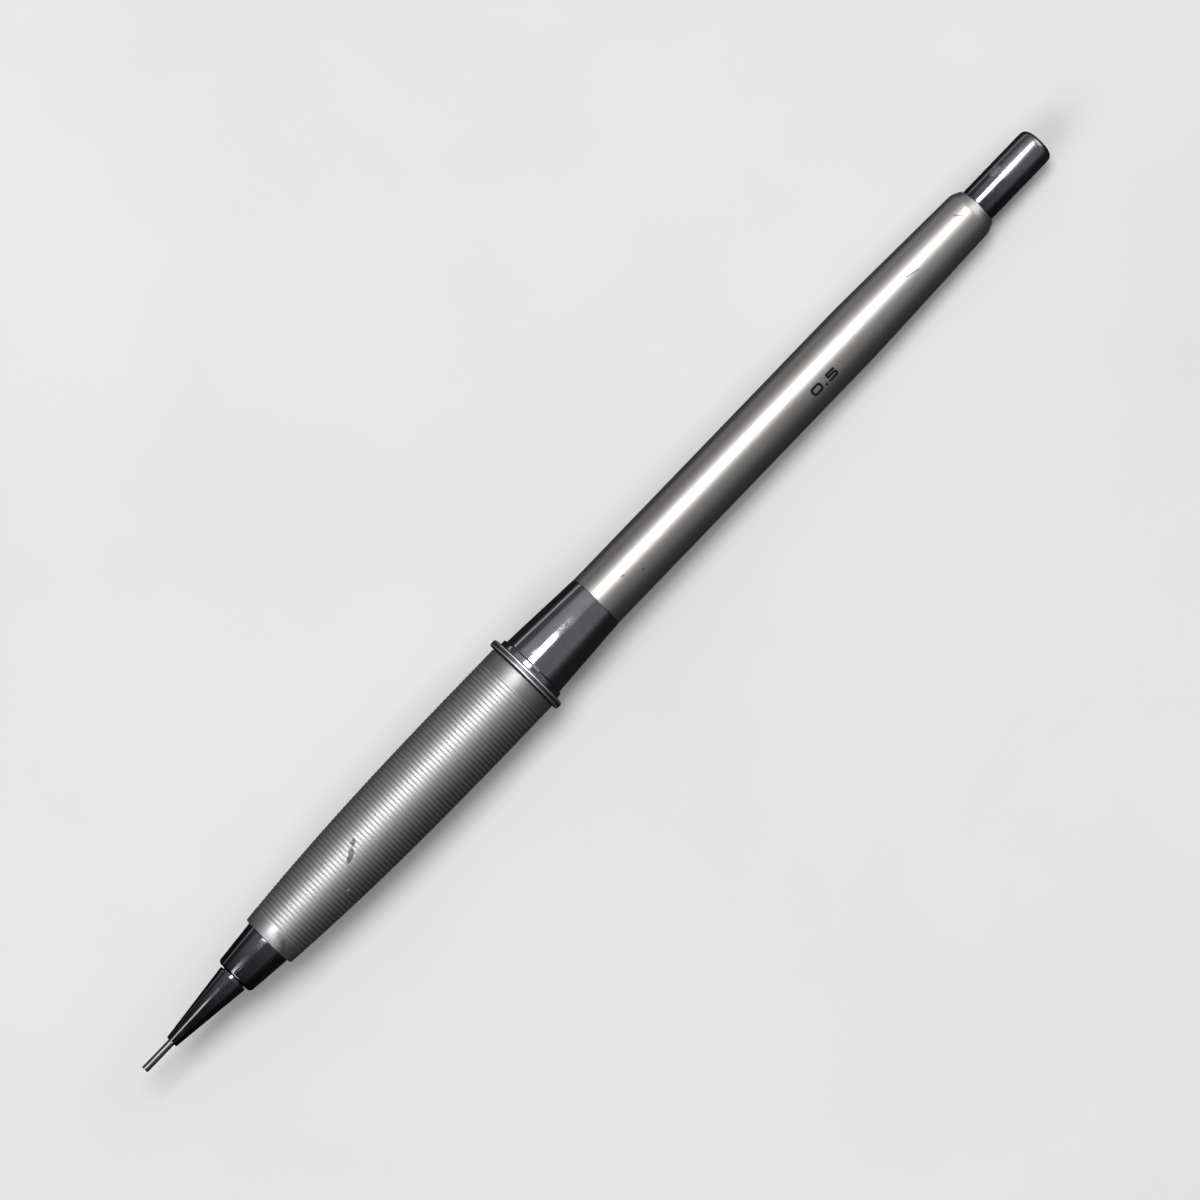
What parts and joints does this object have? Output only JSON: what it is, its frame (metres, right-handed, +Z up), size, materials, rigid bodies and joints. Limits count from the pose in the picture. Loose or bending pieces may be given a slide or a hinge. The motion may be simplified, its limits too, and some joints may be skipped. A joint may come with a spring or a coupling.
{
  "type": "drafting pencil",
  "caption": "Slim fine-lead drafting pencil: grooved metal grip, chrome tip and collar, spring-loaded chuck feed, and a pull-off push button over an eraser.",
  "frame": {"origin": "centre of the lead sleeve's writing end, on the pencil's axis", "axes": "+X along the pencil's axis from the writing end to the push button, +Z up"},
  "size_m": [0.142, 0.0102, 0.0102],
  "materials": {
    "barrel_metal": "satin anodised silver",
    "grip_metal": "satin silver with fine turned grooves",
    "chrome_trim": "polished chrome plate, lightly scratched",
    "button_chrome": "dark polished plate, scuffed",
    "sleeve_steel": "fine drawn steel",
    "spring_steel": "drawn spring wire",
    "brass": "machined brass",
    "tube_plastic": "smooth dark plastic",
    "black_plastic": "matt black",
    "black_rubber": "matt",
    "graphite": "grey graphite sheen",
    "eraser_rubber": "matt white"
  },
  "bodies": {
    "body": {"grip_sleeve": "grip_metal", "grip_core": "brass", "chuck_guide": "brass", "return_spring": "spring_steel", "spacer_ring": "black_plastic", "collar": "chrome_trim", "barrel_coupler": "brass", "barrel_tube": "barrel_metal", "tail_bush": "black_plastic"},
    "tip": {"nose_ferrule": "chrome_trim", "tip_cone": "chrome_trim", "lead_sleeve": "sleeve_steel", "lead_retainer": "black_rubber"},
    "clutch": {"clutch_ring": "brass"},
    "feed": {"lead_tube": "tube_plastic", "chuck": "brass", "chuck_connector": "brass", "spare_leads": "graphite"},
    "lead": {"writing_lead": "graphite"},
    "button": {"push_button": "button_chrome", "button_liner": "black_plastic"},
    "eraser_unit": {"eraser": "eraser_rubber", "eraser_ferrule": "sleeve_steel", "cleaning_pin": "spring_steel"}
  },
  "joints": [
    {"name": "tip_release", "type": "slide", "parent": "body", "child": "tip", "axis": [-1, 0, 0], "range_m": [0, 0.026]},
    {"name": "push_stroke", "type": "slide", "parent": "body", "child": "feed", "axis": [-1, 0, 0], "range_m": [0, 0.003], "stiffness_N_per_m": 500, "springref_m": -0.006, "deforming": ["return_spring"]},
    {"name": "clutch_travel", "type": "slide", "parent": "body", "child": "clutch", "axis": [-1, 0, 0], "range_m": [0, 0.001]},
    {"name": "lead_feed", "type": "slide", "parent": "body", "child": "lead", "axis": [-1, 0, 0], "range_m": [0, 0.005]},
    {"name": "button_pull", "type": "slide", "parent": "feed", "child": "button", "axis": [1, 0, 0], "range_m": [0, 0.028]},
    {"name": "eraser_pull", "type": "slide", "parent": "feed", "child": "eraser_unit", "axis": [1, 0, 0], "range_m": [0, 0.014]}
  ],
  "couplings": [
    {"joint": "clutch_travel", "follows": "push_stroke", "ratio": 0.33333},
    {"joint": "eraser_pull", "follows": "button_pull", "ratio": 0.5}
  ]
}
